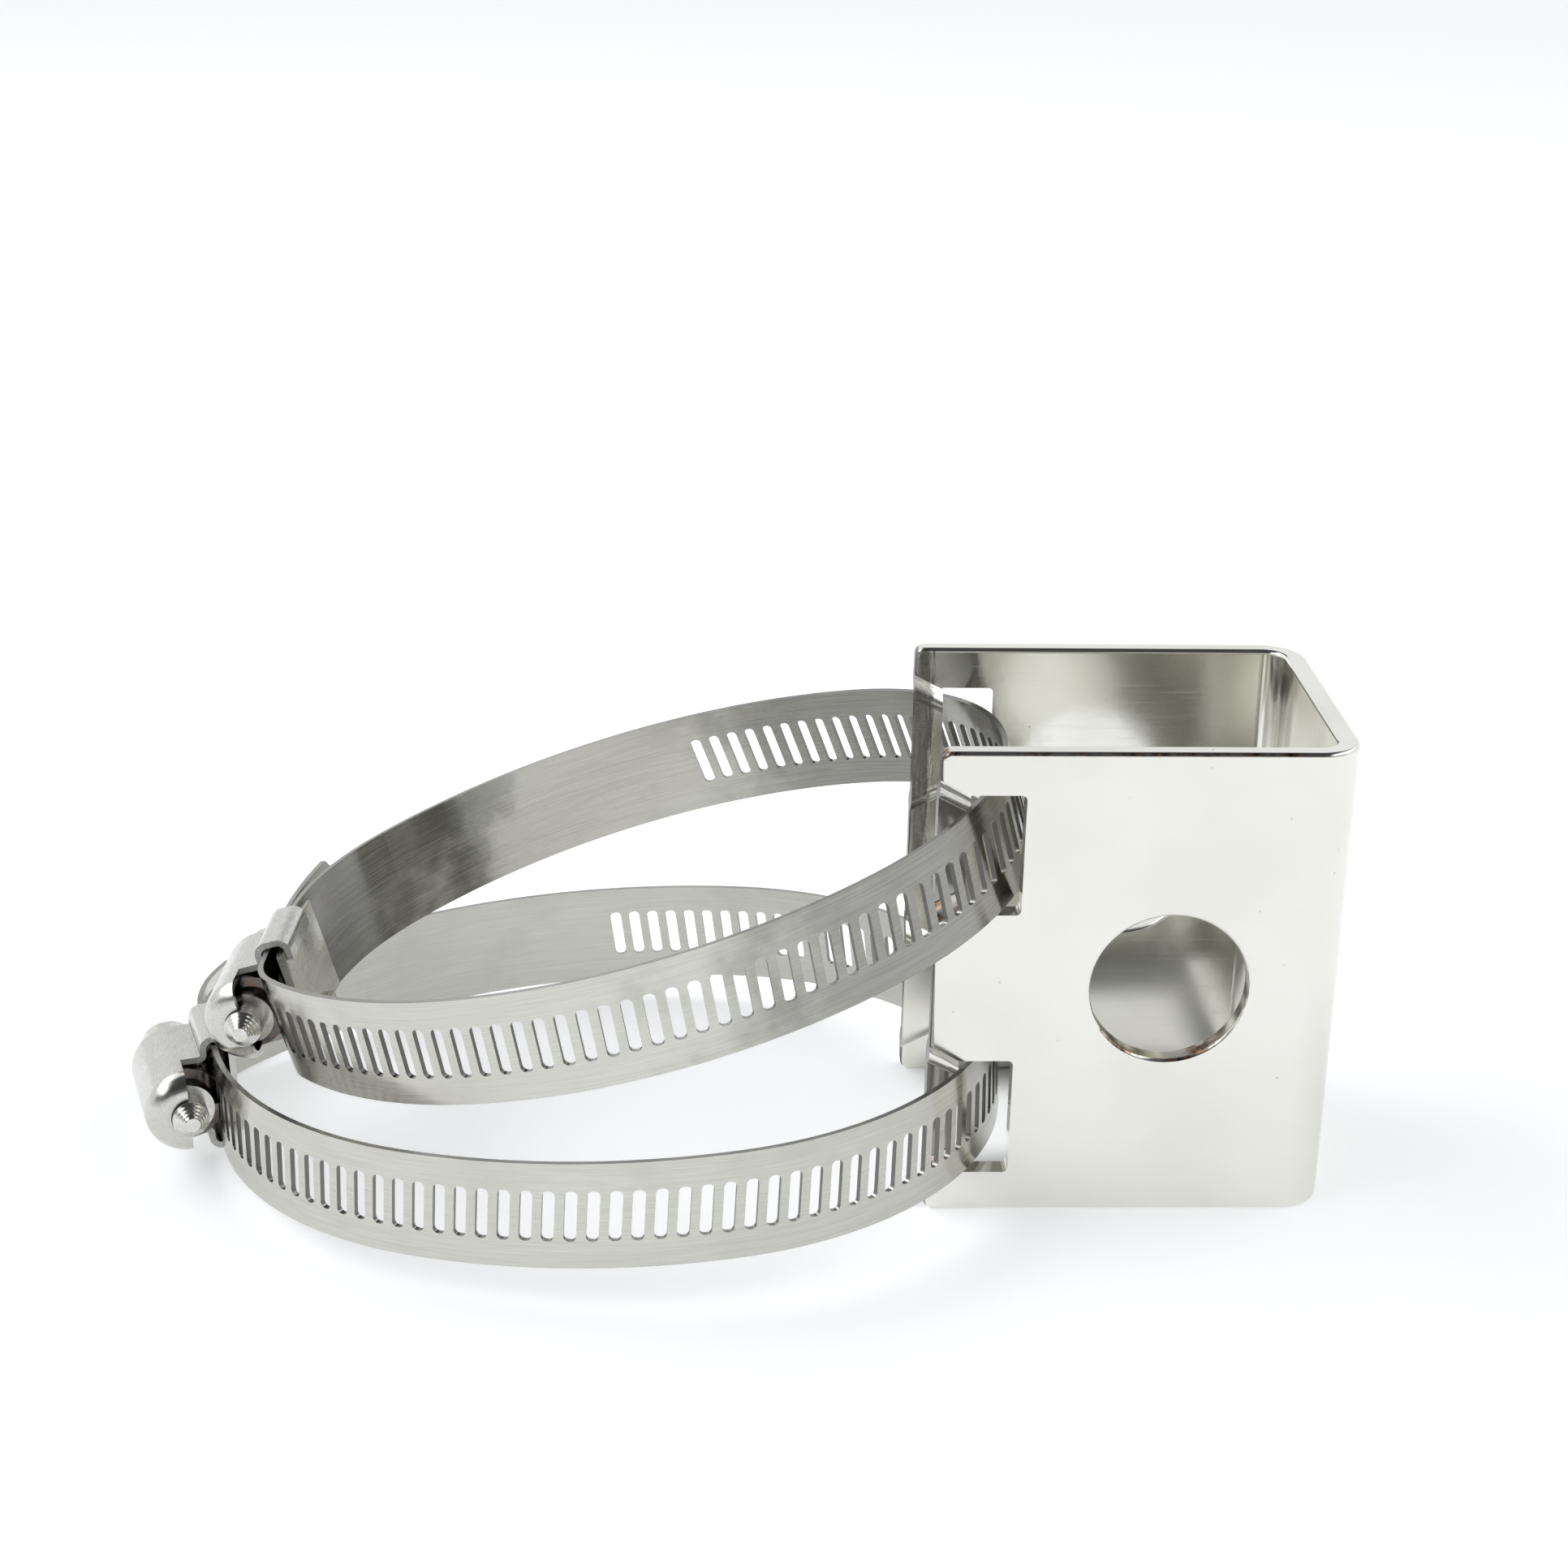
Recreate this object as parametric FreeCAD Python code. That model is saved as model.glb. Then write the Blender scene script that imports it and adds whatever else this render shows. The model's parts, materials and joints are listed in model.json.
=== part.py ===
import FreeCAD, Part
import math
import os
from collections import namedtuple
from FreeCAD import Placement, Rotation, Vector

# Antenna mast clamp: a folded U bracket with two worm-drive band clamps through its slots.
# Millimetres. X points from the mast to the web, Y across the bracket, Z up along the mast.
# The origin is the middle of the web's lower edge.

# Bracket, folded from one sheet
sheet = 2.5
bracket_height = 57.0
bracket_width = 37.5        # over the outside of both flanges
bracket_depth = 47.0        # web's outer face to the flanges' free edges
bend_radius = 2.5           # inside of the fold
edge_round = 0.5
corner_round = 1.2
hole_diameter = 18.0
hole_from_web = 20.1        # hole's centre to the web's outer face
hole_round = 0.4

# Slots for the bands, and the narrow bridges pressed inward beside them
slot_width = 6.2
slot_height = 14.4
slot_margin = 5.0           # slot to the bracket's top or bottom
slot_round = 0.6            # corners away from the bridge
bridge_width = 3.4
bridge_press = 1.6
bridge_bend = 1.6           # at the middle of the sheet
bridge_slant = 1.8          # how far the bend runs on towards the free edge

# Loops of the two bands, from the middle of their slots to the middle of the strip
lower_half_width = 38.6
lower_reach = 91.5          # to the housing
lower_inside = 3.2          # into the U
lower_widest = 40.1         # to the widest place
lower_aside = 0.2           # across, to the housing
lower_turn = 17.0           # degrees that the housing is turned by
lower_roll = 1.6            # degrees that the near side is lifted by
upper_half_width = 37.4
upper_reach = 84.6
upper_inside = 4.6
upper_widest = 39.3
upper_aside = 0.0
upper_turn = -3.0
upper_roll = 1.1
side_flatness = 1.14        # radius of a long side over the least that takes in the housing

# Band, one perforated strip for each clamp
band_width = 12.7
band_thickness = 0.65
tail_length = 17.5          # free end past the housing
tail_spread = 2.0           # tail's radius over that of the bend beside it
taper_length = 2.0          # trimmed corners of the free end, along the band
taper_width = 3.0
plain_length = 68.5         # fixed end to the first perforation
end_margin = 2.2            # free end to its last perforation
perforation_length = 6.1
perforation_width = 1.4
perforation_pitch = 2.45
perforation_round = 0.6

# Worm screw
worm_radius = 4.15
worm_core = 3.1
worm_mesh = 0.45            # how deep the thread reaches into the band
worm_turns = 4
turns_before = 3            # turns of the thread before the middle of the ears
core_margin = 0.3           # core runs this far past the thread
thread_crest = 0.8
thread_flank = 15.0         # degrees
tip_radius = 2.15
tip_cone = 1.6
tip_flat = 0.85             # radius of the flat nub
tip_reach = 2.2             # past the housing's end wall
collar_length = 1.0
head_flats = 6.9
head_corner = 3.65          # radius that trims the hexagon's corners
head_length = 5.0
head_round = 0.6
driver_slot_width = 1.2
driver_slot_depth = 1.6

# Housing, stamped over the worm and curled round the band's edges
housing_sheet = 0.75
ear_length = 10.0           # along the band
nose_length = 3.0           # from the ears to the drawn end
nose_round = 2.0
curl_radius = 1.2
ear_room = 0.6              # band to the wing beside the arch
arch_fillet = 0.5
lip_length = 1.2
entry_length = 3.0          # band runs straight this far before the ears

# Saddle, the curved plate under the band
saddle_thickness = 0.8
saddle_width = 11.6
saddle_reach = 4.5          # past the ears, along the loop
saddle_flare = 6.0          # radius of the flared near end
saddle_flare_length = 2.0

# Clearances
layer_gap = 0.05            # between sheets that lie on each other
edge_gap = 0.22             # band's edge to the housing's curl
worm_gap = 0.1              # worm to the arch
journal_gap = 0.08          # screw's tip to its hole in the end wall
head_gap = 0.2              # screw's head to the housing
rest_gap = 0.2              # a clamp to what it rests on
root_overlap = 0.1          # thread's root, inside the worm's core
near_zero = 0.01
settling_steps = 6          # for a clamp's droop and height, which hang on each other

# Places that follow from the sizes
outer_face = sheet / 2
free_edge = outer_face - bracket_depth
flange_middle = (bracket_width - sheet) / 2
slot_left = free_edge + bridge_width
lower_slot = slot_margin
upper_slot = bracket_height - slot_margin - slot_height
slot_middle = slot_left + slot_width / 2
worm_axis = worm_radius - worm_mesh
arch_middle = worm_radius + worm_gap + housing_sheet / 2
arch_outside = arch_middle + housing_sheet / 2
wing_level = ear_room + housing_sheet / 2
free_level = band_thickness / 2
fixed_level = free_level + band_thickness + layer_gap
cut_depth = band_thickness + 1.5 * layer_gap
saddle_level = fixed_level + band_thickness / 2 + layer_gap + saddle_thickness / 2
lip_level = saddle_level + saddle_thickness / 2 + layer_gap + housing_sheet / 2
lip_outside = lip_level + housing_sheet / 2
curl_middle = band_width / 2 + edge_gap + housing_sheet / 2
ear_outside = curl_middle + housing_sheet / 2
thread_root = worm_core - root_overlap
thread_foot = thread_crest / 2 + (worm_radius - thread_root) * math.tan(math.radians(thread_flank))
wall_start = -nose_length - nose_round
tip_start = wall_start - housing_sheet / 2 - tip_reach
up = Vector(0, 0, 1)

Loop = namedtuple("Loop", "slot_bottom half_width reach inside widest aside turn roll")
lower_loop = Loop(lower_slot, lower_half_width, lower_reach, lower_inside,
                  lower_widest, lower_aside, lower_turn, lower_roll)
upper_loop = Loop(upper_slot, upper_half_width, upper_reach, upper_inside,
                  upper_widest, upper_aside, upper_turn, upper_roll)


def flat(x, y):
    return Vector(x, y, 0)


def turned(vector, degrees):
    return Rotation(up, degrees).multVec(vector)


# A path is a list of stretches (start, end, centre) that run on smoothly; a straight has no centre
def walk(point, heading, moves):
    """Path from moves (size, turn): a straight of that length, or an arc of that radius."""
    path = []
    for size, turn in moves:
        ahead = turned(Vector(1, 0, 0), heading)
        if turn == 0:
            end = point + ahead * size
            path.append((point, end, None))
        else:
            centre = point + turned(ahead, math.copysign(90, turn)) * size
            end = centre + turned(point - centre, turn)
            path.append((point, end, centre))
        heading += turn
        point = end
    return path


def turn_of(stretch):
    start, end, centre = stretch
    return math.copysign(1, (start - centre).cross(end - centre).z)


def beside(point, stretch, distance):
    """Point that lies to the left of a point on the stretch."""
    start, end, centre = stretch
    if centre is None:
        return point + turned((end - start).normalize(), 90) * distance
    return point - (point - centre).normalize() * turn_of(stretch) * distance


def side_edge(stretch, distance):
    start, end, centre = stretch
    first = beside(start, stretch, distance)
    last = beside(end, stretch, distance)
    if centre is None:
        return Part.LineSegment(first, last).toShape()
    outward = ((start - centre) + (end - centre)).normalize()
    middle = centre + outward * (start - centre).Length
    return Part.Arc(first, beside(middle, stretch, distance), last).toShape()


def strip_face(path, thickness):
    """Flat section of a sheet that is bent along the path."""
    half = thickness / 2
    edges = [side_edge(stretch, side) for side in (half, -half) for stretch in path]
    for stretch, point in ((path[0], path[0][0]), (path[-1], path[-1][1])):
        ends = [beside(point, stretch, side) for side in (half, -half)]
        edges.append(Part.LineSegment(*ends).toShape())
    return Part.Face(Part.Wire(Part.sortEdges(edges)[0]))


def stretch_length(stretch):
    start, end, centre = stretch
    if centre is None:
        return (end - start).Length
    return (start - centre).Length * (start - centre).getAngle(end - centre)


def place_along(path, distance):
    """Point and heading in degrees at a distance along the path."""
    for stretch in path:
        length = stretch_length(stretch)
        if distance <= length:
            break
        distance -= length
    start, end, centre = stretch
    if centre is None:
        ahead = (end - start).normalize()
        return start + ahead * distance, math.degrees(math.atan2(ahead.y, ahead.x))
    turn = turn_of(stretch)
    radius = start - centre
    swept = turned(radius, turn * math.degrees(distance / radius.Length))
    ahead = turned(swept, turn * 90)
    return centre + swept, math.degrees(math.atan2(ahead.y, ahead.x))


def joining_arc(point, inward, centre, radius):
    """Centre of the arc that leaves the point square to inward and runs into a larger circle."""
    away = point - centre
    size = (radius ** 2 - away.dot(away)) / (2 * (away.dot(inward) + radius))
    new_centre = point + inward * size
    return new_centre, centre + (new_centre - centre).normalize() * radius


def swung(point, centre, length):
    """Point further on along a path that bends to the right."""
    radius = point - centre
    return centre + turned(radius, -math.degrees(length / radius.Length))


def one_solid(pieces):
    return pieces[0].fuse(pieces[1:]).removeSplitter()


# Bracket
def folded_sheet():
    """U of sheet with rounded corners and edges, before the holes."""
    fold = bend_radius + sheet / 2
    flange = bracket_depth - sheet / 2 - fold
    web = 2 * (flange_middle - fold)
    moves = [(flange, 0), (fold, 90), (web, 0), (fold, 90), (flange, 0)]
    path = walk(flat(free_edge, -flange_middle), 0, moves)
    body = strip_face(path, sheet).extrude(up * bracket_height)
    corners = [e for e in body.Edges if is_free_corner(e)]
    body = body.makeFillet(corner_round, corners)
    rims = [e for e in body.Edges if is_rim(e)]
    return body.makeFillet(edge_round, rims)


def is_free_corner(edge):
    """Short edge across the sheet at the end of a flange's free edge."""
    return edge.BoundBox.XMax < free_edge + near_zero and edge.BoundBox.ZLength < near_zero


def is_rim(edge):
    """Edge of the sheet's two faces, along the sheet's outline."""
    box = edge.BoundBox
    level = box.ZMax < near_zero or box.ZMin > bracket_height - near_zero
    at_free_edge = box.XMax < free_edge + corner_round + near_zero
    lies_across = box.XLength + box.ZLength < near_zero
    through_sheet = lies_across and abs(box.YLength - sheet) < near_zero
    return (level or at_free_edge) and not through_sheet


def bridge(slot_bottom):
    """Pressed strip between a slot of the near flange and the free edge."""
    swing = math.acos(1 - bridge_press / (2 * bridge_bend))
    drop = 2 * bridge_bend * math.sin(swing)
    degrees = math.degrees(swing)
    overlap = (slot_height / 2 - drop) / 2
    moves = [(bridge_bend, degrees), (bridge_bend, -degrees), (overlap, 0)]
    ramp = strip_face(walk(flat(-flange_middle, slot_height / 2), -90, moves), sheet)
    ramp.Placement = Placement(Vector(slot_left, 0, 0), Rotation(Vector(0, 1, 0), up, Vector(1, 0, 0)))
    upper = ramp.extrude(Vector(-bridge_width, 0, bridge_slant))
    lower = upper.mirror(Vector(0, 0, 0), up)
    reach = slot_height - 2 * drop
    middle = Part.makeBox(bridge_width, sheet, reach)
    middle.translate(Vector(free_edge, bridge_press - flange_middle - sheet / 2, -reach / 2))
    strip = one_solid([middle, upper, lower])
    strip.translate(up * (slot_bottom + slot_height / 2))
    return strip


def slot_cut(slot_bottom):
    """Slot with the room for its bridge, through both flanges."""
    right = slot_left + slot_width
    half = slot_height / 2
    outside = free_edge - bridge_width
    slant = half + 2 * bridge_slant
    outline = [(right, half), (slot_left, half), (outside, slant)]
    outline += [(x, -z) for x, z in reversed(outline)]
    points = [Vector(x, -bracket_width, z + slot_bottom + half) for x, z in outline]
    cut = Part.Face(Part.makePolygon(points + points[:1])).extrude(Vector(0, 2 * bracket_width, 0))
    corners = [e for e in cut.Edges if e.BoundBox.XMin > right - near_zero and e.BoundBox.YLength > sheet]
    return cut.makeFillet(slot_round, corners)


def bracket():
    hole_place = Vector(outer_face - hole_from_web, -bracket_width, bracket_height / 2)
    hole = Part.makeCylinder(hole_diameter / 2, 2 * bracket_width, hole_place, Vector(0, 1, 0))
    body = folded_sheet().cut(hole)
    rings = [e for e in body.Edges if abs(e.BoundBox.ZLength - hole_diameter) < near_zero]
    body = body.makeFillet(hole_round, rings)
    body = body.cut([slot_cut(bottom) for bottom in (lower_slot, upper_slot)])
    near = [bridge(bottom) for bottom in (lower_slot, upper_slot)]
    far = [strip.mirror(Vector(0, 0, 0), Vector(0, 1, 0)) for strip in near]
    return one_solid([body] + near + far)


# Clamp
class Clamp:
    """Places of one band clamp: its loop lies in a plane that droops away from the bracket."""

    def __init__(self, loop, droop_for):
        self.loop = loop
        self.along = turned(Vector(0, 1, 0), loop.turn)
        self.outward = turned(Vector(-1, 0, 0), loop.turn)
        self.inward = self.outward * -1
        self.corner = flat(-loop.reach, loop.aside) - self.along * (ear_length / 2)
        self.path = self.band_path()
        self.plane = self.resting_plane(droop_for)
        axes = Rotation(self.inward, up * -1, self.along)
        self.housing = self.plane.multiply(Placement(self.corner, axes))

    def at(self, along, level):
        """Point in the loop's plane, along the housing and below the band's outer face."""
        return self.corner + self.along * along + self.inward * level

    def band_path(self):
        loop = self.loop
        fixed_start = self.at(ear_length / 2, fixed_level)
        fixed_exit = self.at(ear_length, fixed_level)
        entry = self.at(-entry_length, free_level)
        free_exit = self.at(ear_length, free_level)
        rise = loop.half_width - fixed_exit.y
        side_radius = side_flatness * ((fixed_exit.x + loop.widest) ** 2 + rise ** 2) / (2 * rise)
        far_side = flat(-loop.widest, loop.half_width - side_radius)
        near_side = flat(-loop.widest, side_radius - loop.half_width)
        inside = flat(loop.inside, 0)
        self.far_bend, far_left = joining_arc(fixed_exit, self.inward, far_side, side_radius)
        near_bend, near_left = joining_arc(entry, self.inward, near_side, side_radius)
        far_inner, far_right = joining_arc(inside, Vector(-1, 0, 0), far_side, side_radius)
        self.inner_bend, near_right = joining_arc(inside, Vector(-1, 0, 0), near_side, side_radius)
        tail_centre = free_exit + self.inward * (fixed_exit - self.far_bend).Length * tail_spread
        return [
            (fixed_start, fixed_exit, None),
            (fixed_exit, far_left, self.far_bend),
            (far_left, far_right, far_side),
            (far_right, inside, far_inner),
            (inside, near_right, self.inner_bend),
            (near_right, near_left, near_side),
            (near_left, entry, near_bend),
            (entry, free_exit, None),
            (free_exit, swung(free_exit, tail_centre, tail_length), tail_centre),
        ]

    def resting_plane(self, droop_for):
        """Plane of the loop, with the band's lower edge on the far slot's bottom."""
        radius = self.loop.inside - self.inner_bend.x - band_thickness / 2
        crossing = self.inner_bend.x + math.sqrt(radius ** 2 - (bracket_width / 2) ** 2)
        half = band_width / 2
        lift = bracket_width / 2 * math.sin(math.radians(self.loop.roll))
        level = self.loop.slot_bottom + rest_gap + lift
        height = level + half
        for _ in range(settling_steps):
            droop = droop_for(height, self.loop.reach)
            tilt = math.radians(droop)
            height = level + half * math.cos(tilt) - crossing * math.sin(tilt)
        lean = Rotation(Vector(0, 1, 0), -droop).multiply(Rotation(Vector(1, 0, 0), -self.loop.roll))
        return Placement(Vector(slot_middle, 0, height), lean)

    def band(self):
        body = strip_face(self.path, band_thickness).extrude(up * band_width)
        body.translate(up * (-band_width / 2))
        total = sum(stretch_length(stretch) for stretch in self.path)
        mesh = total - tail_length - ear_length / 2
        before = math.floor((mesh - plain_length) / perforation_pitch)
        after = math.floor((total - mesh - end_margin) / perforation_pitch)
        slot = perforation()
        places = [mesh + count * perforation_pitch for count in range(-before, after + 1)]
        cuts = [self.on_band(slot, place) for place in places]
        cuts += [self.on_band(corner, total) for corner in trimmed_corners()]
        return body.cut(cuts)

    def on_band(self, cutter, distance):
        """Copy of a cutter that is drawn for a band along X, placed on this band."""
        point, heading = place_along(self.path, distance)
        placed = cutter.copy()
        placed.Placement = Placement(point, Rotation(up, heading)).multiply(cutter.Placement)
        return placed

    def saddle(self):
        start = self.at(0, saddle_level)
        flare = start + self.inward * saddle_flare
        swing = math.degrees(saddle_flare_length / saddle_flare)
        exit_point = self.at(ear_length, saddle_level)
        path = [
            (flare + turned(start - flare, swing), start, flare),
            (start, exit_point, None),
            (exit_point, swung(exit_point, self.far_bend, saddle_reach), self.far_bend),
        ]
        body = strip_face(path, saddle_thickness).extrude(up * saddle_width)
        body.translate(up * (-saddle_width / 2))
        return body


def trimmed_corners():
    """Wedges that taper the free end of a band along X."""
    edge = band_width / 2
    outline = [(-2 * taper_length, edge + taper_width), (taper_length, edge - 2 * taper_width),
               (taper_length, edge + taper_width)]
    points = [Vector(x, -cut_depth / 2, z) for x, z in outline]
    wedge = Part.Face(Part.makePolygon(points + points[:1])).extrude(Vector(0, cut_depth, 0))
    return wedge, wedge.mirror(Vector(0, 0, 0), up)


def perforation():
    """Slanted slot with rounded corners, square to a band that runs along X."""
    slot = Part.makeBox(perforation_width, cut_depth, perforation_length)
    slot.translate(Vector(-perforation_width / 2, -cut_depth / 2, -perforation_length / 2))
    across = [e for e in slot.Edges if e.BoundBox.YLength > cut_depth / 2]
    slot = slot.makeFillet(perforation_round, across)
    lead = math.degrees(math.atan(perforation_pitch / (2 * math.pi * worm_radius)))
    slot.Placement = Placement(Vector(), Rotation(Vector(0, 1, 0), -lead))
    return slot


# Housing and screw, with X towards the band, Z along the screw and the ears' near end at Z = 0
def housing():
    upright = lip_level + wing_level - 2 * curl_radius
    wing = curl_middle - curl_radius - arch_middle - arch_fillet
    leg = worm_axis - wing_level - arch_fillet
    half = [(lip_length, 0), (curl_radius, -90), (upright, 0), (curl_radius, -90), (wing, 0),
            (arch_fillet, 90), (leg, 0), (arch_middle, -90)]
    lip_end = flat(lip_level, -(curl_middle - curl_radius - lip_length))
    ears = strip_face(walk(lip_end, -90, half + half[::-1]), housing_sheet).extrude(up * ear_length)
    crown = walk(flat(-worm_axis, -arch_middle), 180, [(arch_middle, -90), (arch_middle, -90)])
    nose = strip_face(crown, housing_sheet).extrude(up * -nose_length)
    wall = arch_middle - nose_round - tip_radius - journal_gap
    drawn = walk(flat(-nose_length, arch_middle), 180, [(nose_round, 90), (wall, 0)])
    drawn = strip_face(drawn, housing_sheet)
    drawn.Placement = Placement(flat(-worm_axis, 0), Rotation(up, Vector(0, 1, 0), Vector(-1, 0, 0)))
    end = drawn.revolve(flat(-worm_axis, 0), up, 180)
    return one_solid([ears, nose, end])


def screw():
    axis = flat(-worm_axis, 0)
    worm_start = ear_length / 2 - turns_before * perforation_pitch
    core_start = worm_start - thread_foot - core_margin
    head_start = ear_length + head_gap
    cone = Part.makeCone(tip_flat, tip_radius, tip_cone, axis + up * tip_start)
    journal_start = tip_start + tip_cone
    journal = Part.makeCylinder(tip_radius, core_start - journal_start, axis + up * journal_start)
    core = Part.makeCylinder(worm_core, head_start - core_start, axis + up * core_start)
    collar = Part.makeCylinder(head_corner, collar_length, axis + up * (ear_length - collar_length))
    thread = worm_thread()
    thread.translate(axis + up * worm_start)
    return one_solid([core.fuse(thread), cone, journal, collar, screw_head(axis, head_start)])


def screw_head(axis, start):
    """Hexagon with trimmed corners and a driver slot."""
    reach = head_flats / math.sqrt(3)
    points = [turned(Vector(reach, 0, 0), 60 * corner) for corner in range(7)]
    head = Part.Face(Part.makePolygon(points)).extrude(up * head_length)
    trim = Part.makeCylinder(head_corner, head_length)
    rim = [e for e in trim.Edges if e.BoundBox.ZMin > head_length / 2]
    head = head.common(trim.makeFillet(head_round, rim))
    slot = Part.makeBox(2 * reach, driver_slot_width, driver_slot_depth)
    slot.translate(Vector(-reach, -driver_slot_width / 2, head_length - driver_slot_depth))
    head = head.cut(slot)
    head.translate(axis + up * start)
    return head


def worm_thread():
    """Ridge of the worm: right-handed, one perforation a turn."""
    half = thread_crest / 2
    corners = [(thread_root, -thread_foot), (worm_radius, -half),
               (worm_radius, half), (thread_root, thread_foot)]
    points = [Vector(radius, 0, height) for radius, height in corners]
    profile = Part.makePolygon(points + points[:1])
    helix = Part.makeHelix(perforation_pitch, worm_turns * perforation_pitch, worm_radius)
    return Part.Wire(helix).makePipeShell([profile], True, True)


def floor_droop(height, reach):
    """Angle at which the housing's ear comes down to the floor."""
    drop = height - rest_gap - ear_length / 2 * math.sin(math.radians(lower_roll))
    radius = math.hypot(reach + wing_level, ear_outside)
    return math.degrees(math.asin(drop / radius) - math.atan2(ear_outside, reach + wing_level))


def resting_droop(height, reach):
    """Angle at which the upper arch comes down on the inner edge of the lower ear."""
    fall = height - 2 * ear_outside - rest_gap
    across = lower_reach - lip_outside - ear_length / 2 * math.sin(math.radians(lower_turn))
    span = math.hypot(fall, across)
    arm = reach + worm_axis
    apart = arch_outside + rest_gap
    cosine = (arm ** 2 + span ** 2 - apart ** 2) / (2 * arm * span)
    return math.degrees(math.atan2(fall, across) - math.acos(min(1, cosine)))


def save(shape, name):
    shape.exportStep(os.path.join("parts", name + ".step"))


def main():
    os.makedirs("parts", exist_ok=True)
    save(bracket(), "bracket")
    lower = Clamp(lower_loop, floor_droop)
    upper = Clamp(upper_loop, resting_droop)
    for name, clamp in (("lower", lower), ("upper", upper)):
        for piece, shape, place in (
            ("band", clamp.band(), clamp.plane),
            ("saddle", clamp.saddle(), clamp.plane),
            ("housing", housing(), clamp.housing),
            ("screw", screw(), clamp.housing),
        ):
            shape.Placement = place.multiply(shape.Placement)
            save(shape, name + "_" + piece)


main()
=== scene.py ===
import json
import math

import bpy
import numpy as np
from mathutils import Matrix, Vector

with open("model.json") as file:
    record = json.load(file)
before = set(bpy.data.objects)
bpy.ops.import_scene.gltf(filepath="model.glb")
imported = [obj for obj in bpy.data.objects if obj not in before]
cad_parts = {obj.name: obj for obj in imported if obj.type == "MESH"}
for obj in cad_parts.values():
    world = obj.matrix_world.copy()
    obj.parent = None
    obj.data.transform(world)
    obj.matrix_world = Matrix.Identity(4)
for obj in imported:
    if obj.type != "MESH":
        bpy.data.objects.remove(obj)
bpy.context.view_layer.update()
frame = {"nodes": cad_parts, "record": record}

# The scene is in metres and degrees, and the metals are in millimetres.
# A pair of numbers is a range: a finish begins at the first and is full at the second.
MM = 0.001

# Camera, as the photograph was taken
CAMERA_PLACE = Vector((-75.10, -294.74, 163.13)) * MM
CAMERA_YAW = 2.53           # to the right of +Y
CAMERA_PITCH = 21.68        # down
CAMERA_ROLL = -1.12
LENS_MM = 62.63
SENSOR_MM = 36.0
CLIP_START = 0.01

# Floor
FLOOR_SIZE = 6.0
FLOOR_MIDDLE = Vector((-0.07, 0, 0))
FLOOR_WHITE = (0.82, 0.823, 0.83)
GLOW_NEAR = 0.45            # floor's own light, which only the view and the reflections see
GLOW_FAR = 0.33
GLOW_FADE = (0.2, 1.4)      # distance from the floor's middle
GLOW_SEEN_BY = ("Is Camera Ray", "Is Glossy Ray", "Is Transmission Ray")
SHADE_LEFT = (-0.049, -0.036)   # X over which the bracket's shade on the floor grows
SHADE_RIGHT = -0.003        # X at which it ends, by the web
SHADE_SIDE = 0.018          # and Y, under the flanges
SHADE_MIDDLE = 0.003        # Y of the line between the flanges where the floor stays bright
SHADE_ASIDE = (0.004, 0.014)    # distance from that line
SHADE_DEEP = (-0.010, -0.003)   # X over which that line darkens too
SHADE_DEPTH = 0.45

# Light
KEY_PLACE = (-0.55, 0.45, 0.75)
KEY_SIZE = 0.6
KEY_POWER = 1.5
SKY_COLOUR = (0.97, 0.985, 1.0, 1)
SKY_HORIZON = 0.97
SKY_FRONT = 0.15
SKY_LEFT = 3.0
SKY_RIGHT = 2.2
SKY_TOP = 0.06
SKY_LOW = (0.14, 0.26)      # Z of a direction, from the horizon to the front
SKY_HIGH = (0.42, 0.58)     # Z, from there to the sides and the top
SKY_AHEAD = (-0.1, -0.4)    # Y, from the back to the front
SKY_ASIDE = (0.4, 0.65)     # X, from the top to a side

# Colours
PLATING = (0.815, 0.81, 0.755, 1)
PLATING_WARM = (0.78, 0.772, 0.71, 1)
SHEARED = (0.20, 0.19, 0.17, 1)
SHEARED_DARK = (0.06, 0.055, 0.048, 1)
COPPER = (0.42, 0.24, 0.14, 1)
SPECK = (0.30, 0.29, 0.26, 1)
STAINLESS = (0.64, 0.63, 0.585, 1)
STAINLESS_DULL = (0.55, 0.54, 0.495, 1)
# painted shade and painted dark reflection on the bands
BAND_PAINTED_SHADE = (0.15, 0.147, 0.135, 1)
# dark steel: painted shade in the bands' slots, and the screws' turned rings
SLOT_WALL = (0.17, 0.165, 0.155, 1)
POLISHED = (0.64, 0.635, 0.62, 1)
BROKEN = (0.44, 0.435, 0.425, 1)
# painted shade inside the housings
HOUSING_PAINTED_SHADE = (0.022, 0.02, 0.018, 1)
TURNED = (0.70, 0.69, 0.66, 1)
# the worm, painted dark as the shade inside the housing, with brown patches
WORM_DARK = (0.085, 0.08, 0.075, 1)
WORM_BROWN = (0.16, 0.085, 0.055, 1)

# Ranges of a noise, whose values lie about 0.5
WIDE = (0.3, 0.7)
MIDDLE = (0.35, 0.65)
NARROW = (0.4, 0.6)
PATCHES = (0.44, 0.58)
UPPER_HALF = (0.5, 0.72)
PEAKS = (0.55, 0.75)
FEW = (0.63, 0.67)

# Stretch of a streaky noise along X, Y and Z
TORN_STREAKS = (2.0, 2.6, 0.22)
SCRATCHES = (0.06, 1.0, 3.2)
SADDLE_STREAKS = (1.0, 0.2, 6.0)
HOUSING_STREAKS = (6.0, 1.2, 6.0)

# Roughness of each metal, from its smoother spots to its duller ones
PLATING_ROUGH = (0.12, 0.17)
BAND_ROUGH = (0.16, 0.22)
SMEAR_ROUGH = (0.0, 0.07)   # added on a band by smears
SADDLE_ROUGH = (0.2, 0.32)
HOUSING_ROUGH = (0.17, 0.26)
SCREW_ROUGH = (0.14, 0.26)

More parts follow.
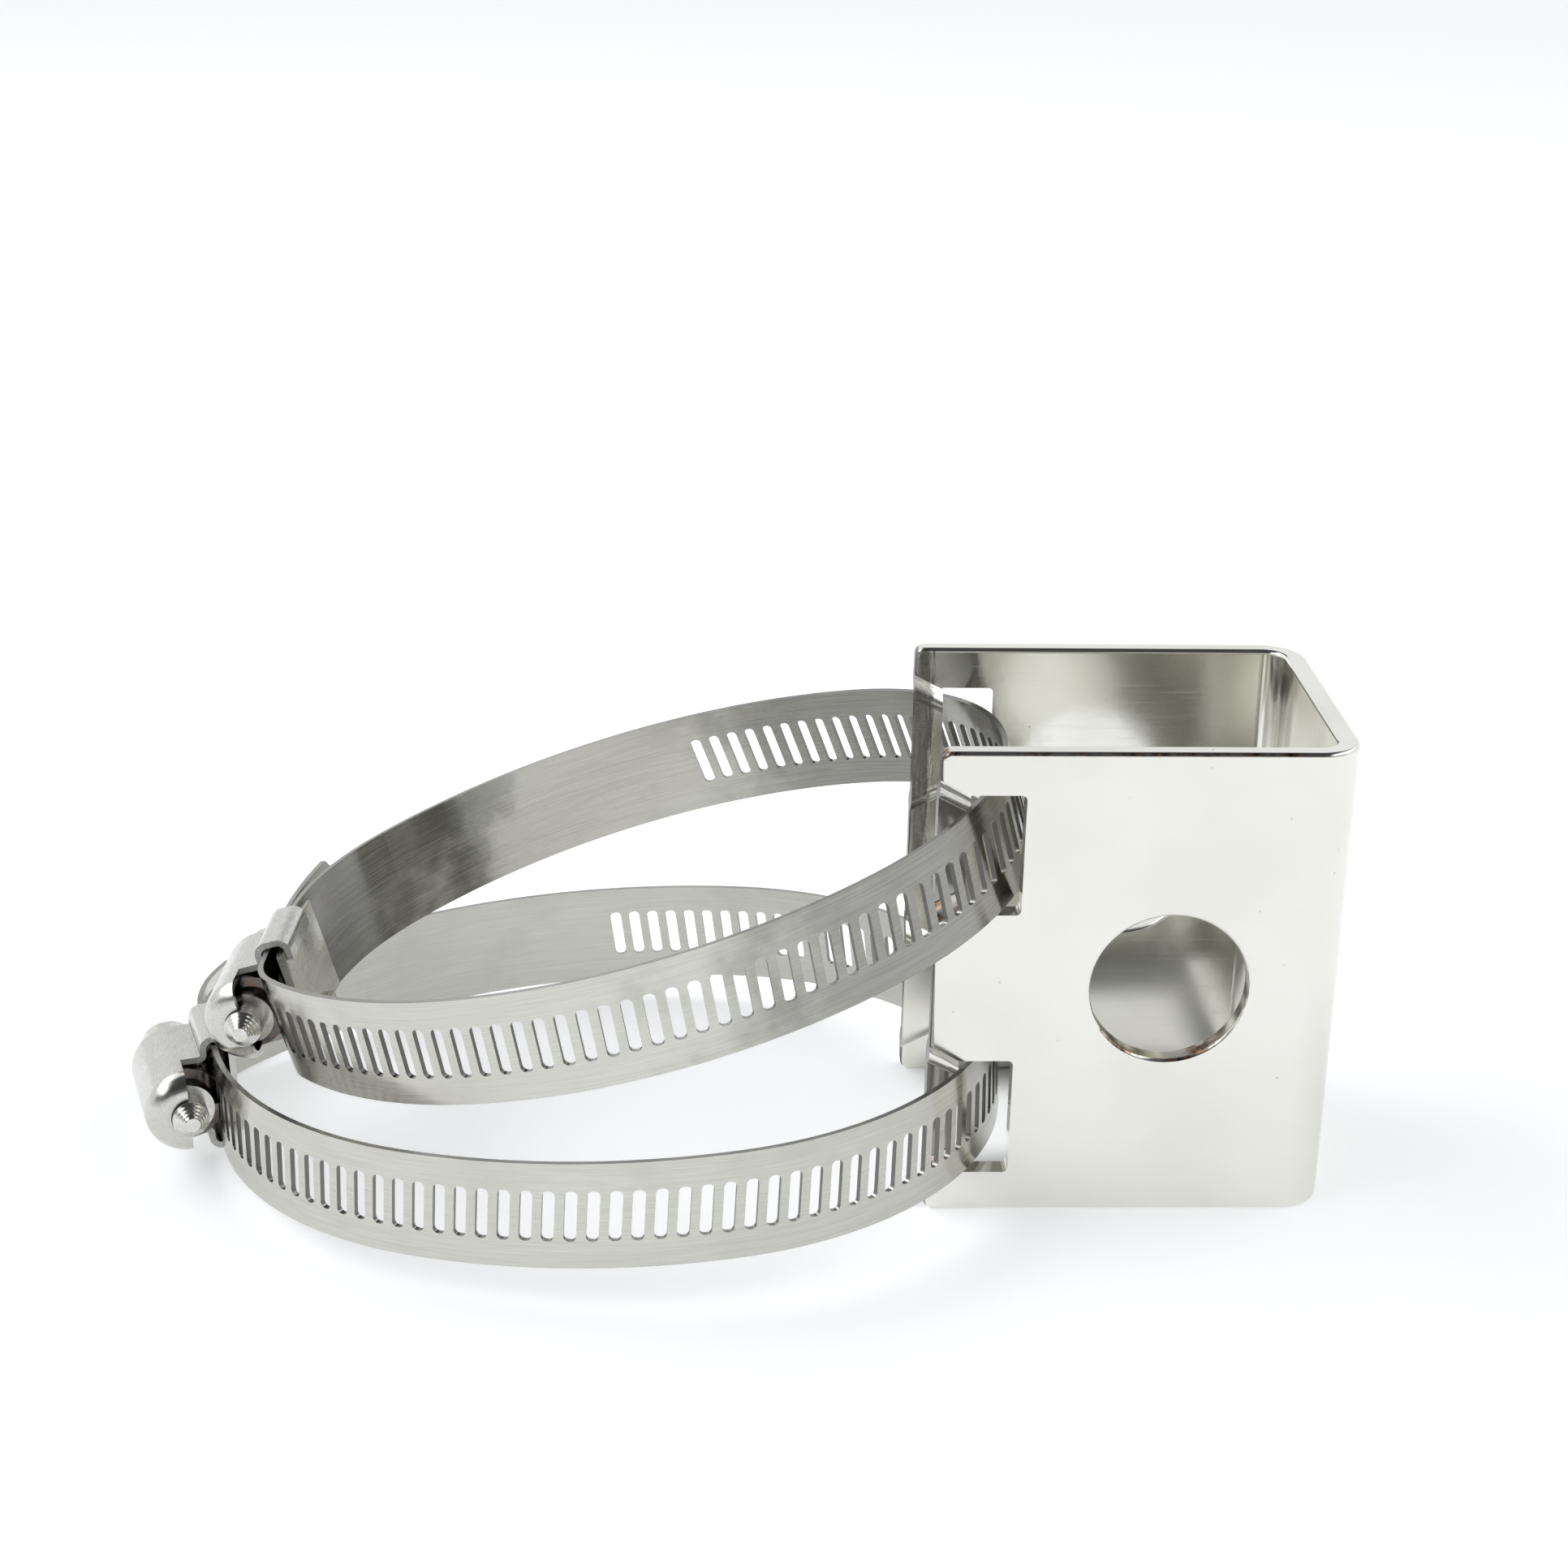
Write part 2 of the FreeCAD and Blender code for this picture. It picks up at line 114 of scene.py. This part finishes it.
# Bracket's places
FOLD_X = -6.0
FREE_EDGE_X = -45.75
BRIDGE_X = -41.5
ON_FLANGE = (FOLD_X + 1, FOLD_X)
ON_FREE_EDGE = (FREE_EDGE_X + 0.9, FREE_EDGE_X + 0.2)
# Inner faces by the free edge, which take a painted dark reflection in the colours of the cut
# edge
ON_MARGIN = (FREE_EDGE_X + 2.6, FREE_EDGE_X + 1.7)
MARGIN_WANDERS = (-0.5, 0.5)
MARGIN_HEIGHT = (22.0, 32.0)
MARGIN_SHARE = 0.75
# A bridge's recessed outer face takes painted shade in the colour of the cut edge
ON_BRIDGE = (BRIDGE_X + 1, BRIDGE_X)
RECESSED = (18.5, 18.0)     # outer face of a pressed bridge, from the middle of the bracket
NEAR_SIDE = (0.0, -1.0)     # Y, on the flange towards the camera
PIT_SIZE = (0.1, 0.05)      # from a pit's middle, in widths of a cell

# Directions of the bracket's faces
ROUNDED = (0.985, 0.92)     # largest part of a normal, which is 1 on a flat face
FACING_UP = (0.12, 0.3)
FACING_END = (0.45, 0.8)
FACING_IN = (-4.0, -10.0)   # Y times the normal's part along Y
FACING_OUT = (3.0, 7.0)

# Bands: how a face lies, brushed grain along and across the strip, and painted shade along X
BAND_EDGE = (0.6, 0.9)
SLOT_FACING = (0.62, 0.4)
INNER_SIDE = (0.1, -0.1)
FINE_GRAIN = (0.12, 9.0)
BROAD_GRAIN = (0.03, 1.1)
# Painted shade on the bands: its share on each band, the X of a painted dark reflection on the
# inner face by the housing, the X of painted shade towards the bracket and that shade's share,
# and how far their edge wanders
BAND_SHADE_SHARE = {"lower": 0.1, "upper": 0.85}
DARK_REFLECTION_X = (-95.0, -109.0)
BRACKET_SHADE_X = (-80.0, -56.0)
BRACKET_SHADE_SHARE = 0.8
PAINTED_SHADE_WANDERS = (-6.0, 6.0)

# Housings and screws, along the screw's axis from the middle of the ears, and from the axis
EARS_END = 5.0
ON_EARS = (EARS_END + 0.8, EARS_END + 0.4)
HOUSING_END_FACE = (0.75, 0.95)
HOUSING_INSIDE = (0.05, -0.35)  # how far a face looks away from the axis
HOUSING_RADIUS = (6.6, 5.2)
SADDLE_END_FACE = (0.7, 0.95)
WORM_START = -8.6
WORM_END = 4.8
WORM_BEGINS = (WORM_START, WORM_START + 1)
WORM_ENDS = (WORM_END + 0.6, WORM_END)
SCREW_TIP = (WORM_START + 0.5, WORM_START - 0.5)
RINGS = 17.0                # turned rings: radians of their wave in a millimetre
RINGS_ON_HEAD = 0.15        # share of their depth that is left there

# Sockets of a Mix node that mixes colours
MIX_FIRST, MIX_SECOND, MIX_RESULT = 6, 7, 2


class Nodes:
    """Short calls that add nodes to a material or to the world."""

    def __init__(self, tree):
        self.nodes = tree.nodes
        self.links = tree.links

    def put(self, value, socket):
        if isinstance(value, bpy.types.NodeSocket):
            self.links.new(value, socket)
        else:
            socket.default_value = value

    def fill(self, node, *values):
        for value, socket in zip(values, node.inputs):
            self.put(value, socket)

    def math(self, operation, *values):
        node = self.nodes.new("ShaderNodeMath")
        node.operation = operation
        self.fill(node, *values)
        return node.outputs[0]

    def times(self, *values):
        product = values[0]
        for value in values[1:]:
            product = self.math("MULTIPLY", product, value)
        return product

    def plus(self, *values):
        total = values[0]
        for value in values[1:]:
            total = self.math("ADD", total, value)
        return total

    def weighted(self, *pairs):
        """Sum of values, each times its weight."""
        return self.plus(*(self.times(value, weight) for value, weight in pairs))

    def largest(self, first, *others):
        for value in others:
            first = self.math("MAXIMUM", first, value)
        return first

    def rest(self, value):
        return self.math("SUBTRACT", 1.0, value)

    def size(self, value):
        return self.math("ABSOLUTE", value)

    def between(self, value, low, high, start=0.0, end=1.0):
        """Smooth step from start to end as the value goes from low to high."""
        node = self.nodes.new("ShaderNodeMapRange")
        node.interpolation_type = "SMOOTHSTEP"
        self.fill(node, value, low, high, start, end)
        return node.outputs[0]

    def vector(self, operation, *values):
        node = self.nodes.new("ShaderNodeVectorMath")
        node.operation = operation
        self.fill(node, *values)
        return node.outputs["Value" if operation in ("DOT_PRODUCT", "LENGTH") else "Vector"]

    def scaled(self, vector, factor):
        node = self.nodes.new("ShaderNodeVectorMath")
        node.operation = "SCALE"
        self.put(vector, node.inputs["Vector"])
        self.put(factor, node.inputs["Scale"])
        return node.outputs["Vector"]

    def split(self, vector):
        node = self.nodes.new("ShaderNodeSeparateXYZ")
        self.put(vector, node.inputs[0])
        return tuple(node.outputs)


class Surface(Nodes):
    """A metal: one Principled shader, with the calls that only a metal needs."""

    def __init__(self, name):
        self.material = bpy.data.materials.new(name)
        self.material.use_nodes = True
        super().__init__(self.material.node_tree)
        self.shader = self.nodes["Principled BSDF"]
        self.shader.inputs["Metallic"].default_value = 1.0
        place = self.nodes.new("ShaderNodeTexCoord")
        self.normal = place.outputs["Normal"]
        self.position = self.scaled(place.outputs["Object"], 1 / MM)

    def set(self, **values):
        """Set the shader's sockets, with _ for a space in a socket's name."""
        for name, value in values.items():
            self.put(value, self.shader.inputs[name.replace("_", " ")])

    def noise(self, vector, scale=1.0, detail=2.0, roughness=0.5):
        node = self.nodes.new("ShaderNodeTexNoise")
        self.put(vector, node.inputs["Vector"])
        node.inputs["Scale"].default_value = scale
        node.inputs["Detail"].default_value = detail
        node.inputs["Roughness"].default_value = roughness
        return node.outputs["Fac"]

    def streaks(self, stretch, **kind):
        """Noise that is finer along the axes with a larger stretch."""
        return self.noise(self.vector("MULTIPLY", self.position, stretch), **kind)

    def cells(self, vector, scale):
        """Distance to the nearest of many scattered points."""
        node = self.nodes.new("ShaderNodeTexVoronoi")
        self.put(vector, node.inputs["Vector"])
        node.inputs["Scale"].default_value = scale
        return node.outputs["Distance"]

    def mix(self, factor, first, second):
        node = self.nodes.new("ShaderNodeMix")
        node.data_type = "RGBA"
        self.put(factor, node.inputs["Factor"])
        self.put(first, node.inputs[MIX_FIRST])
        self.put(second, node.inputs[MIX_SECOND])
        return node.outputs[MIX_RESULT]

    def blot(self, colour, factor, other, share):
        """The colour, covered by a share of another one where the factor is 1."""
        return self.mix(self.times(factor, share), colour, other)

    def bump(self, height, depth):
        """Relief of a height from 0 to 1, with its depth in millimetres."""
        node = self.nodes.new("ShaderNodeBump")
        node.inputs["Distance"].default_value = depth * MM
        self.put(height, node.inputs["Height"])
        self.put(node.outputs[0], self.shader.inputs["Normal"])


def loop_plane(node):
    """Middle of a band's loop in millimetres, and the direction across the band."""
    mesh = frame["nodes"][node].data
    points = np.empty(len(mesh.vertices) * 3)
    mesh.vertices.foreach_get("co", points)
    points = points.reshape(-1, 3) / MM
    middle = (points.min(axis=0) + points.max(axis=0)) / 2
    directions = np.linalg.eigh(np.cov((points - middle).T))[1]
    return tuple(middle), tuple(directions[:, 0])


def screw_axis(name):
    """Place in millimetres and direction of a clamp's screw."""
    joints = frame["record"]["behaviour"]["joints"]
    joint = next(j for j in joints if j["name"] == name + "_screw_turn")
    return tuple(Vector(joint["pos_m"]) / MM), tuple(Vector(joint["axis"]).normalized())


def bracket_plating():
    """Bright plating, worn to copper along its rims, with dark shear-cut free edges, a painted
    dark reflection on the flanges' inner faces beside them, and painted shade on the recessed
    bridges.
    """
    s = Surface("bracket_plating")
    x, y, z = s.split(s.position)
    sideways, backward, upward = s.split(s.normal)
    nx, ny, nz = (s.size(part) for part in (sideways, backward, upward))
    outward = s.times(y, backward)

    rim = s.times(s.between(s.largest(nx, ny, nz), *ROUNDED), s.between(x, *ON_FLANGE),
                  s.between(upward, *FACING_UP), s.between(y, *NEAR_SIDE))
    patches = s.noise(s.position, scale=0.16, detail=4, roughness=0.65)
    worn = s.times(rim, s.between(patches, *PATCHES))
    torn = s.streaks(TORN_STREAKS, detail=4, roughness=0.7)
    edge_face = s.times(s.between(x, *ON_FREE_EDGE), s.between(nx, *FACING_END))
    # painted dark reflection on the flanges' inner faces by the free edge, growing upwards
    margin_reflection = s.between(s.plus(x, s.between(torn, *WIDE, *MARGIN_WANDERS)), *ON_MARGIN)
    margin_reflection = s.times(margin_reflection, s.between(z, *MARGIN_HEIGHT), MARGIN_SHARE)
    # dark shear-cut end faces, joined by that painted dark reflection
    sheared_and_dark_reflection = s.largest(edge_face, s.times(s.between(outward, *FACING_IN), margin_reflection))
    # painted shade on the recessed outer faces of the bridges
    bridge_shade = s.times(s.between(outward, *FACING_OUT), s.between(s.size(y), *RECESSED),
                      s.between(x, *ON_BRIDGE))
    pits = s.times(s.between(s.noise(s.position, scale=0.2, detail=1), *FEW),
                   s.between(s.cells(s.position, scale=0.6), *PIT_SIZE))

    cloud = s.between(s.noise(s.position, scale=0.045, detail=3), *MIDDLE)
    grain = s.noise(s.position, scale=1.3, detail=4, roughness=0.6)
    face = s.mix(cloud, PLATING, PLATING_WARM)
    face = s.blot(face, pits, SPECK, share=0.45)
    face = s.blot(face, bridge_shade, SHEARED, share=0.8)
    colour = s.mix(worn, face, s.mix(s.between(grain, *NARROW), SHEARED_DARK, COPPER))
    colour = s.mix(sheared_and_dark_reflection, colour, s.mix(s.between(torn, 0.4, 0.62), SHEARED_DARK, SHEARED))

    scratch = s.between(s.streaks(SCRATCHES), *PEAKS)
    smudge = s.between(s.noise(s.position, scale=0.12, detail=4, roughness=0.7), *UPPER_HALF)
    rough = s.plus(s.between(cloud, 0, 1, *PLATING_ROUGH),
                   s.weighted((scratch, 0.05), (smudge, 0.06), (worn, 0.12), (sheared_and_dark_reflection, 0.14)))
    s.set(Base_Color=colour, Roughness=rough)
    peel = s.noise(s.position, scale=1.1, detail=3, roughness=0.6)
    s.bump(s.weighted((peel, 0.22), (pits, -0.6), (s.times(grain, worn), 0.8),
                      (s.times(torn, sheared_and_dark_reflection), 3.0)), depth=0.012)
    return s.material


def band_steel(node, shade_share):
    """Stainless strip, brushed along its length, with painted shade on its slot walls and edges,
    and a painted dark reflection and painted shade towards its ends.
    """
    s = Surface(node + "_steel")
    middle, across = loop_plane(node)
    offset = s.vector("SUBTRACT", s.position, middle)
    level = s.vector("DOT_PRODUCT", offset, across)
    flat = s.vector("SUBTRACT", offset, s.scaled(across, level))
    outward = s.vector("DOT_PRODUCT", s.vector("NORMALIZE", flat), s.normal)
    edge = s.between(s.size(s.vector("DOT_PRODUCT", s.normal, across)), *BAND_EDGE)
    wall = s.times(s.between(s.size(outward), *SLOT_FACING), s.rest(edge))

    def grain(lengthwise, crosswise, **kind):
        sideways = s.scaled(across, s.times(level, crosswise))
        return s.noise(s.vector("ADD", s.scaled(flat, lengthwise), sideways), **kind)

    fine = grain(*FINE_GRAIN, detail=3, roughness=0.6)
    broad = grain(*BROAD_GRAIN)
    smear = s.noise(s.position, scale=0.08, detail=4, roughness=0.6)
    x = s.plus(s.split(s.position)[0], s.between(smear, *WIDE, *PAINTED_SHADE_WANDERS))
    # painted dark reflection on the inner face, by the housing
    painted_reflection = s.times(s.between(outward, *INNER_SIDE), s.between(x, *DARK_REFLECTION_X))
    # painted shade towards the bracket
    bracket_shade = s.times(s.between(x, *BRACKET_SHADE_X), BRACKET_SHADE_SHARE)
    band_shade = s.times(s.largest(painted_reflection, bracket_shade), shade_share)

    colour = s.mix(s.between(fine, *WIDE), STAINLESS_DULL, STAINLESS)
    colour = s.blot(colour, s.between(smear, 0.48, 0.72), STAINLESS_DULL, share=0.5)
    # darker with the painted reflection and shade
    colour = s.blot(colour, band_shade, BAND_PAINTED_SHADE, share=s.between(fine, *WIDE, 1.0, 0.8))
    # painted shade on the slot walls, and a lighter share of it on the faces across the strip:
    # its edges and the slots' ends
    colour = s.blot(colour, s.largest(wall, s.times(edge, 0.6)), SLOT_WALL, share=0.85)
    rough = s.plus(s.between(fine, *WIDE, *BAND_ROUGH), s.between(smear, 0.45, 0.7, *SMEAR_ROUGH),
                   s.times(wall, 0.2))
    s.set(Base_Color=colour, Roughness=rough, Anisotropic=0.75, Anisotropic_Rotation=0.25,
          Tangent=s.vector("CROSS_PRODUCT", s.normal, across))
    s.bump(s.plus(fine, s.times(broad, 0.6)), depth=0.004)
    return s.material


def saddle_steel(node, axis):
    """Plain satin plate, with a brighter shear-cut rim."""
    s = Surface(node + "_steel")
    end = s.between(s.size(s.vector("DOT_PRODUCT", s.normal, axis)), *SADDLE_END_FACE)
    cloud = s.noise(s.position, scale=0.3, detail=3)
    streak = s.streaks(SADDLE_STREAKS, detail=3)
    colour = s.mix(s.between(streak, *MIDDLE), STAINLESS_DULL, STAINLESS)
    s.set(Base_Color=s.blot(colour, end, POLISHED, share=0.4),
          Roughness=s.between(cloud, *MIDDLE, *SADDLE_ROUGH))
    s.bump(streak, depth=0.008)
    return s.material


def housing_steel(node, origin, axis):
    """Polished stamping with rough shear-cut ends, and painted shade on its inside."""
    s = Surface(node + "_steel")
    offset = s.vector("SUBTRACT", s.position, origin)
    along = s.vector("DOT_PRODUCT", offset, axis)
    radial = s.vector("SUBTRACT", offset, s.scaled(axis, along))
    facing = s.vector("DOT_PRODUCT", s.vector("NORMALIZE", radial), s.normal)
    endways = s.between(s.size(s.vector("DOT_PRODUCT", s.normal, axis)), *HOUSING_END_FACE)
    torn = s.times(endways, s.between(s.size(along), *ON_EARS))
    inside = s.times(s.between(facing, *HOUSING_INSIDE),
                     s.between(s.vector("LENGTH", radial), *HOUSING_RADIUS))

    sparkle = s.noise(s.position, scale=5.5, detail=4, roughness=0.75)
    cloud = s.noise(s.position, scale=0.35, detail=3)
    drawn = s.noise(s.position, scale=1.1, detail=3)
    grained = s.streaks(HOUSING_STREAKS, detail=3, roughness=0.6)
    colour = s.mix(s.between(grained, *MIDDLE), STAINLESS_DULL, POLISHED)
    colour = s.mix(torn, colour, s.mix(s.between(sparkle, 0.42, 0.62), BROKEN, POLISHED))
    rough = s.plus(s.between(cloud, 0.35, 0.7, *HOUSING_ROUGH),
                   s.weighted((torn, 0.1), (inside, 0.25)))
    # painted shade on the inside of the arch
    s.set(Base_Color=s.blot(colour, inside, HOUSING_PAINTED_SHADE, share=0.95), Roughness=rough)
    s.bump(s.weighted((drawn, 0.3), (grained, 0.2), (s.times(sparkle, torn), 3.0)), depth=0.03)
    return s.material


def screw_steel(node, origin, axis):
    """Turned screw: rings on its tip, faint ones on its head, and a worm between them painted
    dark as shade, with brown patches.
    """
    s = Surface(node + "_steel")
    along = s.vector("DOT_PRODUCT", s.vector("SUBTRACT", s.position, origin), axis)
    ring_depth = s.between(along, *SCREW_TIP, RINGS_ON_HEAD, 1.0)
    rings = s.times(s.math("SINE", s.times(along, RINGS)), ring_depth)
    worm = s.times(s.between(along, *WORM_BEGINS), s.between(along, *WORM_ENDS))
    uneven = s.noise(s.position, scale=1.1, detail=3)
    scale = s.noise(s.position, scale=2.4, detail=3, roughness=0.65)

    colour = s.mix(s.between(uneven, 0.4, 0.65), TURNED, STAINLESS)
    colour = s.blot(colour, s.between(rings, 0.2, 0.9), SLOT_WALL, share=0.15)
    # painted shade on the worm, inside the housing
    worm_shade = s.mix(s.between(uneven, 0.52, 0.7), WORM_DARK, WORM_BROWN)
    s.set(Base_Color=s.blot(colour, worm, worm_shade, share=0.92),
          Roughness=s.between(uneven, *MIDDLE, *SCREW_ROUGH))
    s.bump(s.weighted((rings, 0.5), (scale, 0.4)), depth=0.025)
    return s.material


def finish_node(node, material):
    """Give a node of the frame its finish, in every material slot that it has."""
    for slot in frame["nodes"][node].material_slots:
        slot.material = material


def dress():
    finish_node("bracket", bracket_plating())
    for name in ("lower", "upper"):
        origin, axis = screw_axis(name)
        finish_node(name + "_band", band_steel(name + "_band", BAND_SHADE_SHARE[name]))
        finish_node(name + "_saddle", saddle_steel(name + "_saddle", axis))
        finish_node(name + "_housing", housing_steel(name + "_housing", origin, axis))
        finish_node(name + "_screw", screw_steel(name + "_screw", origin, axis))


def floor():
    mesh = bpy.data.meshes.new("floor")
    half = FLOOR_SIZE / 2
    corners = [(-half, -half, 0), (half, -half, 0), (half, half, 0), (-half, half, 0)]
    mesh.from_pydata(corners, [], [(0, 1, 2, 3)])
    plane = bpy.data.objects.new("floor", mesh)
    bpy.context.collection.objects.link(plane)
    plane.location = FLOOR_MIDDLE
    mesh.materials.append(floor_paper())


def inside_bracket(s, x, y):
    """Part of the floor's light that is left between the bracket's flanges: 1 outside them."""
    covered = s.times(s.between(x, *SHADE_LEFT), s.math("LESS_THAN", x, SHADE_RIGHT),
                      s.math("LESS_THAN", s.size(y), SHADE_SIDE))
    aside = s.size(s.math("SUBTRACT", y, SHADE_MIDDLE))
    dimmed = s.largest(s.between(aside, *SHADE_ASIDE), s.between(x, *SHADE_DEEP))
    return s.rest(s.times(covered, dimmed))


def floor_paper():
    """White paper, with a light of its own that only the camera and the metal see."""
    material = bpy.data.materials.new("floor_paper")
    material.use_nodes = True
    s = Nodes(material.node_tree)
    s.nodes.clear()
    rays = s.nodes.new("ShaderNodeLightPath").outputs
    seen = s.largest(*(rays[name] for name in GLOW_SEEN_BY))
    place = s.nodes.new("ShaderNodeTexCoord").outputs["Object"]
    x, y, _ = s.split(s.vector("ADD", place, FLOOR_MIDDLE))
    light = inside_bracket(s, x, y)

    paper = s.nodes.new("ShaderNodeBsdfDiffuse")
    kept = s.between(light, 0.0, 1.0, 1.0 - SHADE_DEPTH, 1.0)
    s.put(s.scaled(FLOOR_WHITE, kept), paper.inputs["Color"])
    glow = s.nodes.new("ShaderNodeEmission")
    glow.inputs["Color"].default_value = SKY_COLOUR
    strength = s.between(s.vector("LENGTH", place), *GLOW_FADE, GLOW_NEAR, GLOW_FAR)
    s.put(s.times(strength, light, seen), glow.inputs["Strength"])
    both = s.nodes.new("ShaderNodeAddShader")
    s.fill(both, paper.outputs[0], glow.outputs[0])
    output = s.nodes.new("ShaderNodeOutputMaterial")
    s.put(both.outputs[0], output.inputs["Surface"])
    return material


def sky():
    """Pale horizon, bright sides, and a dark front and top, which metal shows as dark lines."""
    world = bpy.data.worlds.new("studio")
    bpy.context.scene.world = world
    world.use_nodes = True
    s = Nodes(world.node_tree)
    x, y, z = s.split(s.nodes.new("ShaderNodeTexCoord").outputs["Generated"])
    left = s.between(s.times(x, -1.0), *SKY_ASIDE, SKY_TOP, SKY_LEFT)
    upper = s.between(x, *SKY_ASIDE, left, SKY_RIGHT)
    around = s.between(y, *SKY_AHEAD, SKY_HORIZON, SKY_FRONT)
    low = s.between(z, *SKY_LOW, SKY_HORIZON, around)
    background = s.nodes["Background"]
    background.inputs["Color"].default_value = SKY_COLOUR
    s.put(s.between(z, *SKY_HIGH, low, upper), background.inputs["Strength"])


def lamp(name, place, target, size, power):
    light = bpy.data.lights.new(name, "AREA")
    light.shape = "SQUARE"
    light.size = size
    light.energy = power
    holder = bpy.data.objects.new(name, light)
    bpy.context.collection.objects.link(holder)
    holder.location = place
    holder.rotation_euler = (Vector(target) - Vector(place)).to_track_quat("-Z", "Y").to_euler()


def camera():
    yaw, pitch, roll = (math.radians(angle) for angle in (CAMERA_YAW, CAMERA_PITCH, CAMERA_ROLL))
    forward = Vector((math.sin(yaw) * math.cos(pitch), math.cos(yaw) * math.cos(pitch),
                      -math.sin(pitch)))
    level = Vector((math.cos(yaw), -math.sin(yaw), 0))
    down = forward.cross(level)
    right = level * math.cos(roll) + down * math.sin(roll)
    lower = down * math.cos(roll) - level * math.sin(roll)
    lens = bpy.data.cameras.new("camera")
    lens.sensor_width = SENSOR_MM
    lens.lens = LENS_MM
    lens.clip_start = CLIP_START
    holder = bpy.data.objects.new("camera", lens)
    bpy.context.collection.objects.link(holder)
    turn = Matrix((right, -lower, -forward)).transposed().to_4x4()
    holder.matrix_world = Matrix.Translation(CAMERA_PLACE) @ turn
    bpy.context.scene.camera = holder


dress()
floor()
sky()
lamp("key", KEY_PLACE, FLOOR_MIDDLE, KEY_SIZE, KEY_POWER)
camera()
bpy.context.scene.view_settings.view_transform = "Standard"
